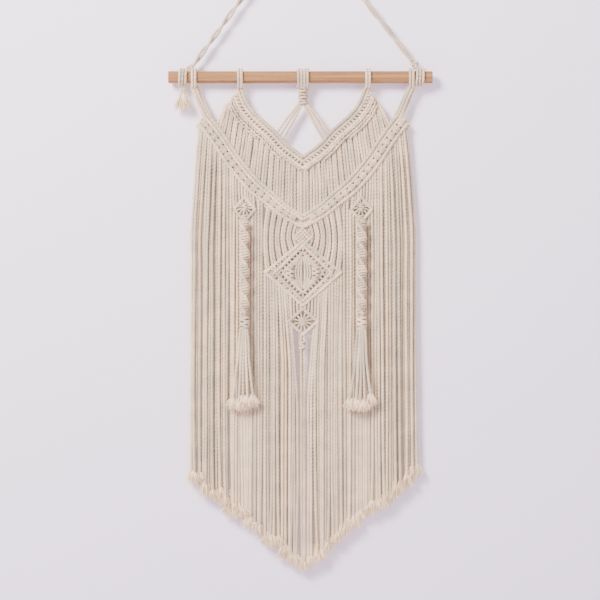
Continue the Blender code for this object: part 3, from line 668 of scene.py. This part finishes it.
def stations(lane, pitch, start=0.0):
    """Even places along a lane, each with the lane's direction there."""
    along = run_of(lane)
    where = start + pitch * (np.arange(int((along[-1] - start) // pitch)) + 0.5)

    def at(distance):
        return np.stack([np.interp(distance, along, lane[:, k]) for k in range(2)], 1)

    return zip(at(where), unit(at(where + 0.5) - at(where - 0.5)))


def row_turn(skein, place, way, sign, front, half, deep, diameter, tilt=0.0):
    """One turn of cord square to a row that runs this way."""
    roll = math.atan2(-sign * way[0], -way[1])
    skein.turn_round(spot(sign * place[0], place[1], front), half, deep, diameter, tilt=tilt, roll=roll)


def upper_lattice(skein, upper, sign):
    """Under the upper V's smooth cords: slanting cords, a ridge, and three short rows of small knots."""
    ridges(skein, upper, sign, [(10.5, -3.2, 2.6, 3.4, 0.2, 0.85, 3), (15.5, -2.6, 2.8, 3.4, 0.2, 0.85, 5)])
    for k, (place, way) in enumerate(stations(lane_of(upper, 9.4, trim=3), 5.0)):
        square = square_to(way)
        slant = 1.1 + stray(0.25)
        a, c = place - 0.6 * square + slant * way, place + 4.2 * square - slant * way
        b = (a + c) / 2
        diameter = (3.5 if k > 2 else 4.8) + stray(0.15)
        skein.cord(places(sign, (*a, -0.2), (*b, 2.2), (*c, 0.4)), diameter, step=1.0, sides=9)
    ridges(skein, upper, sign, [(14.6, 0.9, 2.5, 5.0, 0.34, 0.85, 4)])
    skein.ridge(raised(lane_of(upper, 21.0, trim=9)[:-8], sign, -2.4), 3.0, 3.4)
    for offset, trim, until in ((17.8, 7, 0), (21.6, 11, 28), (25.2, 16, 62)):
        for place, way in stations(lane_of(upper, offset, trim=trim), 4.6):
            if place[0] >= until:
                front = 0.7 + stray(0.2)
                tilt = RNG.choice([-0.35, 0.35])
                row_turn(skein, place, square_to(way), sign, front, 2.2, 2.6, 3.1, tilt=tilt)


def lower_knots(skein, lower, sign):
    """Knots in a row, with openings between them, on two ridges of the layer behind."""
    ridges(skein, lower, sign, [(10.5, -2.6, 2.7, 3.6, 0.2, 0.85, 0), (15.8, -2.6, 2.7, 3.6, 0.2, 0.85, 0)],
           LOWER_PINCH)
    for place, way in stations(lane_of(lower, 13.1, LOWER_PINCH), 10.8, 1.0):
        narrow = 1 - (1 - LOWER_PINCH) * max(0, 1 - place[0] / PINCH_REACH)
        for where, half in ((-5.4, 0.7), (-2.7, 2.9), (0.0, 3.3), (2.7, 2.9)):
            row_turn(skein, place + where * way, way, sign, 1.0, half * narrow, 2.7, 3.5)


def make_bands():
    """The two V bands: smooth double half hitch ridges, knots between them, and the openings they leave."""
    upper, lower = smooth(UPPER_EDGE, 2.0), smooth(LOWER_EDGE, 2.0)
    for side, sign in SIDES:
        skein = Skein(f"upper_pair_{side}")
        ridges(skein, upper, sign, [(2.35, 1.2, 2.5, 5.1, 0.32, 1.0, 0), (7.2, 0.8, 2.25, 5.1, 0.32, 1.0, 0),
                                    (4.9, -2.0, 2.6, 5.1, 0.2, 0.85, 0)])
        skein.tie()

        skein = Skein(f"upper_knots_{side}")
        upper_lattice(skein, upper, sign)
        skein.tie(f"upper_lattice_{side}")

        skein = Skein(f"lower_pair_{side}")
        ridges(skein, lower, sign, [(2.4, 1.4, 2.55, 5.1, 0.3, 1.0, 0), (7.4, 1.0, 2.2, 5.1, 0.32, 1.0, 0),
                                    (5.0, -2.0, 2.6, 5.1, 0.2, 0.85, 0)], LOWER_PINCH)
        skein.tie()

        skein = Skein(f"lower_knots_{side}")
        lower_knots(skein, lower, sign)
        skein.tie()

        skein = Skein(f"lower_ridge_{side}")
        ridges(skein, lower, sign, [(19.6, 1.4, 2.55, 5.1, 0.3, 1.0, 1),
                                    (23.0, -3.0, 2.4, 3.6, 0.2, 0.85, 1)], LOWER_PINCH)
        skein.tie()
    upper_wide = 19.6 + 5.0 * np.clip((upper[:, 0] - 10) / 50, 0, 1)  # wider towards its outer end
    return beside(upper, upper_wide), lower, beside(lower, LOWER_WIDE, LOWER_PINCH)


def even_across(line, reach, count):
    """Distances from the middle, spaced evenly along the line but a little closer where it is steep."""
    fine = np.linspace(0, reach, 200)
    steps = np.hypot(np.diff(fine), 0.75 * np.diff(drop_at(line, fine)))
    along = np.concatenate([[0], np.cumsum(steps)])
    return np.interp((np.arange(count) + 0.5) / count * along[-1], along, fine)


def make_panels(upper_foot, lower_top):
    """The cords between the two Vs, in pairs: upright in the middle, slanted at the sides."""
    tops = even_across(upper_foot, 103.0, PANEL_CORDS)
    lows = even_across(lower_top, 116.5, PANEL_CORDS)

    def start_at(top, outer):
        """Under the upper band, or under its slanted outer end."""
        return max(drop_at(upper_foot, top) - 3.0, outer + 1.6 * (top - 93))

    for side, sign in SIDES:
        skein = Skein(f"panel_cords_{side}")
        for k in range(PANEL_CORDS):
            pair = 0.6 if k % 2 == 0 else -0.6
            top, low = tops[k] + pair, lows[k] + 0.5 * pair + stray(0.25)
            start, end = start_at(top, 23), drop_at(lower_top, low) + 3.0
            sway = stray(0.4) - 0.5 * pair
            front = stray(0.7)
            middle = (0.5 * (top + low) + sway, 0.5 * (start + end), front)
            skein.cord(places(sign, (top, start, -0.3), middle, (low, end, -0.6)), 4.3)
        for k in range(PANEL_CORDS - 1):
            top, low = (tops[k] + tops[k + 1]) / 2, (lows[k] + lows[k + 1]) / 2
            end = drop_at(lower_top, low) + 3.0
            skein.back_cord(places(sign, (top, start_at(top, 25), -3.4), (low, end, -3.4)))
        skein.tie(f"panel_{side}")


# The diamonds, the braids and what lies between them


def lozenge_border(skein, across, drop, wide, top, foot, radius, front, pitch, groove, sides=(0, 1, 2, 3)):
    """Straight ridges along the sides of a diamond."""
    corners = np.array([(0, -top), (wide, 0), (0, foot), (-wide, 0)], float)
    for k in sides:
        a, b = corners[k], corners[(k + 1) % 4]
        past = unit(b - a) * 0.6 * radius
        a, b = a - past, b + past
        lift = 0.5 if k % 2 else 0.0
        points = [spot(across + x, drop + y, front + lift) for x, y in (a, (a + b) / 2, b)]
        skein.ridge(points, radius, pitch, groove)


def diamond_inside(skein, across, drop, wide, border, turned, raised_by, inner):
    """The layer behind a small diamond, and cords from its border to its middle with openings between."""
    spokes = 12
    for aside in (-4.0, 4.0):
        skein.cord([spot(across + aside + x, drop, -3.2) for x in (-5, 0, 5)], 4)
    for down in (-9.0, -6.0, -2.2, 2.2, 6.0, 9.0):
        reach = wide * (1 - abs(down) / border)
        rows = ((-reach, -3.8), (0, -3.4), (reach, -3.8))
        skein.cord([spot(across + x, drop + down, front) for x, front in rows], 4.2)
    for k in range(spokes):
        angle = TURN * (k + 0.5) / spokes + turned
        c, s = math.cos(angle), math.sin(angle)
        edge = (1 + raised_by * s / border) / (abs(c) / wide + abs(s) / border) + 0.4
        points = [spot(across + r * c, drop - raised_by + r * s, front)
                  for r, front in ((inner, 1.0), (0.5 * (inner + edge), 1.7), (edge, 0.2))]
        skein.cord(points, 2.5 + stray(0.12), step=0.9, sides=9)


def make_side_motifs(lower_foot):
    """Each side: a knotted diamond on its leading cords, a spiral braid under it, its tie and its tassel."""
    across, drop = SIDE_DIAMOND
    wide, border = 13.8, 16.4
    raised_by = 3.0  # the ring of openings lies this far above the diamond's middle
    for side, sign in SIDES:
        skein = Skein(f"side_diamond_{side}")
        diamond_inside(skein, sign * across, drop, wide, border, 0.1 * sign, raised_by, 4.6)
        for down, half, tilt in ((-6.4, 1.6, 0.3), (-3.8, 2.9, -0.25), (-1.0, 2.6, 0.3), (1.4, 1.2, -0.3),
                                 (8.6, 3.4, 0.25), (11.0, 4.0, -0.25), (13.6, 2.8, 0.25), (15.8, 1.4, -0.2)):
            skein.turn_round(spot(sign * across, drop + down, 1.0), half, 2.2, 2.9, tilt=tilt)
        lozenge_border(skein, sign * across, drop, wide, border, border, 2.15, 1.3, 3.9, 0.36)
        skein.tie()

        skein = Skein(f"diamond_leads_{side}")
        for low in (-13.0, -9.0, -5.2, -1.5, 2.6, 6.6, 10.6, 14.2):
            high = low * 0.98 + 1.2
            end = drop - (SIDE_REACH - abs(low)) + 3.0
            start = drop_at(lower_foot, across + high) - 3.0
            if end > start + 1:
                middle = (across + 0.5 * (high + low) + 0.4, 0.5 * (start + end), 0.5)
                skein.cord(places(sign, (across + high, start, -0.5), middle, (across + low, end, 0.0)), 3.7)
        for low in (-16, -12, -8, -4, 0, 4, 8, 12, 16):
            start = drop_at(lower_foot, across + low) - 3.0
            if drop > start:
                skein.back_cord(places(sign, (across + low, start, -3.7), (across + low, drop + 6, -4.0)))
        skein.tie()

        spiral_braid(side, sign * across)
        tassel(side, sign * across)


def spiral_braid(side, across):
    """Half knots tied round a core, always the same way, so that they climb round it, and the tie below."""
    skein = Skein(f"spiral_braid_{side}")
    pitch, whole_turn = 3.4, 44.0
    skein.cord([spot(across, drop, BRAID_FRONT) for drop in (BRAID_TOP - 1, BRAID_FOOT + 1)], 5.6)
    for k in range(int((BRAID_FOOT - BRAID_TOP - 3) / pitch)):
        drop = BRAID_TOP + 2.2 + pitch * k
        spin = TURN * (drop - BRAID_TOP) / whole_turn + stray(0.05)
        centre = spot(across + stray(0.12), drop, BRAID_FRONT)
        wide = 5.5 + stray(0.15)
        diameter = 3.9 + stray(0.1)
        skein.turn_round(centre, wide, 2.5, diameter, tilt=0.30 + stray(0.05), spin=spin)
    skein.tie(body=f"{side}_braid")
    skein = Skein(f"tassel_tie_{side}")
    skein.cord([spot(across, BRAID_FOOT, BRAID_FRONT), spot(across, 334.5, BRAID_FRONT)], 6.0)
    for drop, wide, tilt in ((319.5, 5.0, 0.3), (322.8, 5.6, -0.3), (326.4, 4.6, 0.35), (329.6, 4.8, -0.3),
                             (332.4, 3.4, 0.2)):
        skein.turn_round(spot(across, drop, BRAID_FRONT), wide, wide * 0.74, 3.6, tilt=tilt)
    skein.tie(body=f"{side}_braid")


def tassel(side, across):
    """The braid's own cords, loose below the tie, with opened ends."""
    skein = Skein(f"tassel_{side}")
    for share, near in ((-1.08, 1), (-0.50, 1), (-0.30, -1), (-0.12, 1), (0.30, 1), (0.48, -1), (0.86, 1)):
        share, layer = share + stray(0.03), 1.9 * near
        low = 425.5 + RNG.uniform(-3, 4) + 3 * (1 - abs(share))
        rows = ((4.4, 333.6, 0.8), (6.4, 350, 1.0), (7.8, 372, 1.0), (10.2, 396, 1.1))
        path = [spot(across + half * share + stray(0.3), drop, BRAID_FRONT + layer * deep)
                for half, drop, deep in rows]
        path.append(spot(across + 14.5 * share, low, BRAID_FRONT + 0.6 + 0.7 * layer + stray(0.3)))
        skein.cord(path, 3.9, swell=[0.9, 1, 1, 1, 1.06])
        skein.fray(path[-1], (0.16 * share, -0.10, -1), 12, 170, 3.6, 0.55, flat=0.35)
    skein.build(FLUFF, f"{side}_tassel", [f"tassel_{side}"])


def make_cross_knot():
    """Cords woven over and under each other, below the point of the lower V."""
    skein = Skein("cross_knot")
    for across in (-8.0, -4.0, 0.0, 4.0, 8.0):
        skein.cord([spot(across, PATCH_DROP + down, front)
                    for down, front in ((-13, -2.2), (0, -1.8), (13, -2.2))], 4.4)
    pitch, reach = 3.9, 9.4
    for k in range(5):
        for flip in (-1, 1):
            off = pitch * (k - 2)
            points = []
            for t in np.linspace(-reach, reach, 9):
                over = 1.2 * flip * math.cos(math.pi * (t / pitch + k))
                points.append(spot(flip * (t + off) * 0.71, PATCH_DROP + (t - off) * 0.71, 1.4 + over))
            skein.cord(points, 3.5, step=1.0, sides=9)
    skein.tie()


def make_bowed_cords(lower_foot):
    """The cords beside the knot patch, bowed outwards from the V to the big diamond."""
    count = 11
    for side, sign in SIDES:
        skein = Skein(f"bowed_cords_{side}")
        for k in range(count):
            share = k / (count - 1)
            top = 8.2 + 38.4 * share + (0.62 if k % 2 else -0.62)
            low = 6.6 + 41.6 * share + (0.5 if k % 2 else -0.5)
            bow = 4.2 + 1.6 * (1 - share)
            start = drop_at(lower_foot, top) - 3.5
            end = BIG_DROP - BIG_TOP * (1 - low / BIG_WIDE) + 2.5
            points = []
            for t in np.linspace(0, 1, 6):
                across = top + (low - top) * t + bow * math.sin(math.pi * min(1, t * 0.96 + 0.02))
                points.append(spot(sign * across, start + (end - start) * t, 0.2 + stray(0.25)))
            skein.cord(points, 4.2)
            if k:
                behind = [p + (sign * -2.1, 3.9, 0) for p in points]
                behind[-1] = behind[-1] + (0, 0, 4)
                skein.back_cord(behind, 4.0)
        skein.tie()


def diamond_ring(skein, sign):
    """One half of the big diamond's border: three ridges, and knots between the outer two."""
    sides = (0, 1) if sign > 0 else (2, 3)
    lozenge_border(skein, 0, BIG_DROP, 43.5, 36.5, 39.5, 3.0, -2.4, 3.4, 0.15, sides)
    lozenge_border(skein, 0, BIG_DROP, 37.4, 36.0, 37.4, 2.3, 1.6, 4.2, 0.36, sides)
    lozenge_border(skein, 0, BIG_DROP, 50.0, 41.6, 43.4, 2.3, 1.1, 4.2, 0.36, sides)
    for down, foot in ((-1, 40.6), (1, 42.4)):
        way = unit(np.array([-1.0, down * 0.88]))
        for share in np.linspace(0.12, 0.78, 5):
            inner = np.array([36.8 * (1 - share), down * 36.4 * share])
            outer = np.array([49.6 * (1 - share), down * foot * share])
            gap = np.linalg.norm(outer - inner)
            if gap >= 4.5:
                place = (inner + outer) / 2 + (0, BIG_DROP)
                half = max(1.2, gap / 2 - 2.6)
                for along, tilt in ((-1.6, 0.4), (1.6, -0.4)):
                    row_turn(skein, place + along * way, way, sign, 0.6, half, 2.2, 2.9, tilt=tilt)


def diamond_spokes(skein, sign):
    """Short cords from the border inwards, with openings between them, and ridges behind and inside them."""
    spokes, slope = 9, 0.707
    for down in (-1, 1):
        square, lean = np.array([-slope, -slope * down]), np.array([slope, -slope * down]) * 0.5
        for k in range(spokes):
            share = (k + 0.5) / spokes
            a = np.array([35.6 * share, down * 35.4 * (1 - share)])
            points = ((a, -0.3), (a + 3.0 * square + lean, 2.2), (a + 6.8 * square, 0.2))
            skein.cord([spot(sign * max(p[0], 0.2), BIG_DROP + p[1], front) for p, front in points], 2.5,
                       step=0.9, sides=9)
    for offset, front, radius in ((31.5, -3.8, 2.9), (25.6, -3.6, 2.9), (27.2, 0.9, 1.9)):
        for down in (-1, 1):
            points = [spot(sign * offset * t, BIG_DROP + down * offset * (1 - t), front) for t in (0, 0.5, 1)]
            skein.ridge(points, radius, 3.6, 0.35)


def leaf(skein, sign):
    """Beside the slit in the diamond's middle: bowed cords, and a column of knots with slanting cords."""
    for across, reach, bow in ((2.1, 21.5, 0.4), (4.6, 20.0, 1.6), (6.9, 17.0, 2.9)):
        points = [spot(sign * (across * (1 - 0.5 * t * t) + bow * (1 - t * t)), BIG_DROP + reach * t,
                       0.6 + 0.8 * (1 - t * t)) for t in np.linspace(-1, 1, 7)]
        skein.cord(points, 2.9, step=1.2, sides=10)
    for k in range(7):
        t = (k - 3) / 3.6
        centre = spot(sign * (17.4 - 1.5 * t * t), BIG_DROP + 10.5 * t, 1.2)
        skein.turn_round(centre, 4.6 * math.sqrt(1 - t * t), 2.6, 3.1, tilt=0.35 if k % 2 else -0.35,
                         roll=0.12 * sign * t)
    for down in (-1, 1):
        for k in range(4):
            a = (1.4 + 2.2 * k, down * (24.5 - 2.0 * k))
            c = (10.2 + 2.9 * k, down * (9.4 - 0.6 * k))
            b = (0.5 * (a[0] + c[0]) + 0.6, 0.5 * (a[1] + c[1]))
            points = [spot(sign * x, BIG_DROP + y, front) for (x, y), front in ((a, 0.2), (b, 1.9), (c, 0.9))]
            skein.cord(points, 2.9, step=1.0, sides=9)
    for across in (1.9, 6.0, 9.6):
        skein.back_cord([spot(sign * across, BIG_DROP + down, -2.6) for down in (-22, 22)], 3.6, step=3)
    for across in (12.0, 16.0, 20.5):
        reach = 27.5 - across
        skein.cord([spot(sign * across, BIG_DROP + down, front)
                    for down, front in ((-reach, -1.4), (0, -1.0), (reach, -1.4))], 3.6)


def make_big_diamond():
    """Ridges round a ring of openings, with a knotted leaf on each side of a slit."""
    for side, sign in SIDES:
        skein = Skein(f"big_diamond_{side}")
        diamond_ring(skein, sign)
        diamond_spokes(skein, sign)
        skein.tie()
        skein = Skein(f"leaf_{side}")
        leaf(skein, sign)
        skein.tie()


def under_big(across):
    """The drop of the big diamond's lower edge."""
    return BIG_DROP + BIG_FOOT * (1 - across / BIG_FOOT_WIDE)


def make_last_diamond():
    """The smallest knots at the foot of the middle, and the cords beside its neck."""
    skein, border = Skein("last_diamond"), 17.0
    diamond_inside(skein, 0, LAST_DROP, LAST_REACH, border, 0.0, 0.0, 1.2)
    for flip in (-1, 1):
        skein.cord(places(flip, (-4.5, LAST_DROP - 4.5, 1.6), (0, LAST_DROP, 2.8 + 0.7 * flip),
                          (4.5, LAST_DROP + 4.5, 1.6)), 3.0, step=0.9)
    for down, half in ((-3.2, 1.6), (3.2, 1.6), (0.0, 4.0)):
        skein.turn_round(spot(0, LAST_DROP + down, 1.2), half, 2.0, 2.8)
    lozenge_border(skein, 0, LAST_DROP, LAST_REACH, border, border, 2.15, 1.3, 3.9, 0.36)
    skein.tie()
    for side, sign in SIDES:
        skein = Skein(f"neck_cords_{side}")
        for across in (1.8, 6.0, 10.2, 14.4):
            start, end = under_big(across) - 4, LAST_DROP - 8 + 0.5 * across
            skein.back_cord(places(sign, (across, start, -3.2), (across, end, -3.2)), 4.0, step=3)
        for top, low in ((2.6, 2.4), (7.8, 6.6), (12.0, 11.2), (16.6, 15.2)):
            start, end = under_big(top) - 2, LAST_DROP - (LAST_REACH - low) + 2.5
            if end > start:
                halfway = (0.5 * (top + low) + 0.5, 0.5 * (start + end), 0.6)
                skein.cord(places(sign, (top, start, 0), halfway, (low, end, 0)), 3.7)
        skein.tie()


# The fringe


def hem(across):
    """The drop of the fringe's lower end, before its cords stray from it."""
    distances, drops = zip(*HEM)
    return float(np.interp(abs(across), distances, drops))


def hinge(curtain, across, drop):
    return "panel", curtain, tuple(spot(across, drop) * MM), tuple(spot(across, drop + HINGE_LENGTH) * MM)


def hang(skein, sign, tops, feet, fronts, starts, run=lambda t: t):
    """Loose cords that hang from their starts to the hem, bunched a little near their ends, with opened tips.

    run says how much of the way from its top to its foot a cord has moved aside at each share of its length.
    """
    groups = []
    while sum(groups) < len(tops):
        groups.append(int(RNG.integers(2, 5)))
    owner = np.repeat(np.arange(len(groups)), groups)[: len(tops)]
    feet = np.array(feet, float)
    for group in range(len(groups)):
        mine = owner == group
        if mine.any():
            feet[mine] = 0.78 * feet[mine] + 0.22 * feet[mine].mean()
    for top, foot, front, start in zip(tops, feet, fronts, starts):
        end = hem(foot) - 8.0 + stray(3.6)
        points = [spot(sign * top, start, min(front, -0.2))]
        phase, size = RNG.uniform(0, TURN), RNG.uniform(0.2, 0.9)
        kick = stray(1.3)
        rows = max(4, int((end - start) / 45))
        for t in np.arange(1, rows + 1) / rows:
            sway = size * math.sin(phase + 5.0 * t) * math.sin(math.pi * min(1, 1.15 * t))
            across = top + (foot - top) * run(t) + sway + kick * t**6
            deep = front + 0.5 * math.sin(phase * 1.7 + 4.0 * t) + stray(0.15)
            points.append(spot(sign * across, start + (end - start) * t, deep))
        skein.cord(points, 4.4, step=2.0, swell=[1] * 30 + [1.05, 1.12])
        way = (sign * 0.03 * kick + stray(0.10), stray(0.05), -1)
        skein.fray(points[-1], way, RNG.uniform(11, 16), 96, 2.7, 0.55)
    for k in range(len(tops) - 1):
        if tops[k + 1] - tops[k] <= 7:
            top, foot = (tops[k] + tops[k + 1]) / 2, (feet[k] + feet[k + 1]) / 2
            start = max(starts[k], starts[k + 1])
            end = hem(foot) - 14 + stray(3.0)
            points = [spot(sign * (top + (foot - top) * run(t)), start + (end - start) * t, -3.0)
                      for t in np.linspace(0, 1, 8)]
            skein.back_cord(points)
            skein.fray(points[-1], (stray(0.08), 0, -1), 13, 60, 2.4, 0.55, flat=0.5)


def outer_fringe(side, sign, lower_foot):
    skein = Skein(f"outer_fringe_{side}")
    count = 12
    share = (np.arange(count) + 0.5) / count
    tops = 102.0 + 36.5 * share
    feet = 101.8 + 49.6 * share + stray(0.4, count)
    fronts = np.where(np.arange(count) % 2 == 0, 1.5, -1.6) + stray(0.4, count)
    starts = drop_at(lower_foot, tops) - 3.5
    hang(skein, sign, tops, feet, fronts, starts, run=lambda t: min(1.0, t / 0.3) ** 0.8 * 0.85 + 0.15 * t)
    skein.build(FLUFF, nodes=[f"fringe_roots_{side}", f"fringe_outer_{side}"],
                blend=hinge(f"fringe_{side}", sign * 124.5, OUTER_HINGE))


def side_fringe(side, sign, lower_foot):
    """Behind the spiral braid; some of its cords start at the side diamond."""
    skein = Skein(f"side_fringe_{side}")
    tops = np.array([54.6, 58.8, 62.8, 66.8, 71.4, 77.0, 82.6, 87.2, 91.4, 95.8, 100.2])
    feet = tops + stray(0.7, len(tops)) + np.linspace(0.4, 1.2, len(tops))
    fronts = np.array([0.4, -0.6, 0.6, -1.0, -1.8, -2.4, -1.8, -1.0, 0.5, -0.5, 0.4]) \
        + stray(0.3, len(tops))
    near = np.abs(tops - SIDE_DIAMOND[0])
    starts = np.where(near < 18, SIDE_DIAMOND[1] + SIDE_REACH - near - 3.0, drop_at(lower_foot, tops) - 3.5)
    hang(skein, sign, tops, feet, fronts, starts)
    for across in (52.6, 103.4):
        start, end = drop_at(lower_foot, across) - 3, hem(across) - 16
        skein.back_cord(places(sign, (across, start, -3.2), (across, end, -3.2)))
    skein.build(FLUFF, "panel", [f"fringe_side_{side}"])


def middle_fringe(side, sign):
    """From the big and the last diamond, beside the slit."""
    skein = Skein(f"middle_fringe_{side}")
    tops = np.array([15.6, 18.6, 21.6, 24.8, 28.2, 31.8, 35.4, 39.2, 43.0, 46.8, 50.6])
    feet = np.linspace(5.9, 51.0, len(tops)) + stray(0.6, len(tops))
    fronts = stray(0.9, len(tops))
    under_last = LAST_DROP + LAST_REACH - tops - 3.0
    starts = np.where(tops < 19.0, under_last, np.minimum(under_big(tops) - 1.5, 300))
    hang(skein, sign, tops, feet, fronts, starts, run=lambda t: min(1.0, t / 0.3))
    skein.build(FLUFF, nodes=[f"middle_roots_{side}", f"fringe_middle_{side}"],
                blend=hinge("fringe_middle", sign * 20.0, MIDDLE_HINGE))


def make_fringe(lower_foot):
    """The curtains of loose cords: outer, behind the spiral braids, on both sides of the slit, and in it."""
    for side, sign in SIDES:
        outer_fringe(side, sign, lower_foot)
        side_fringe(side, sign, lower_foot)
        middle_fringe(side, sign)
    skein = Skein("centre_fringe")
    hang(skein, 1, [-2.6, 1.6], [-1.9, 2.1], [0.5, -0.5], [338.0, 338.0])
    small_knot = ((-0.8, 352.0, 3.4, 0.5), (-0.2, 355.4, 4.2, -0.4), (-0.9, 358.6, 3.2, 0.45))
    for aside, drop, wide, tilt in small_knot:
        skein.turn_round(spot(aside, drop, 0.4), wide, 2.9, 3.2, tilt=tilt)
    skein.build(FLUFF, nodes=["fringe_centre_cords"],
                blend=hinge("fringe_middle", 0, MIDDLE_HINGE))


def dress_dowel():
    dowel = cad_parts["dowel"]
    dowel.data.materials.clear()
    dowel.data.materials.append(BEECH)


make_camera()
make_studio()
make_hanging_cords()
make_hanger_ends()
make_loops()
make_middle_braid()
UPPER_FOOT, LOWER_TOP, LOWER_FOOT = make_bands()
make_panels(UPPER_FOOT, LOWER_TOP)
make_side_motifs(LOWER_FOOT)
make_cross_knot()
make_bowed_cords(LOWER_FOOT)
make_big_diamond()
make_last_diamond()
make_fringe(LOWER_FOOT)
dress_dowel()
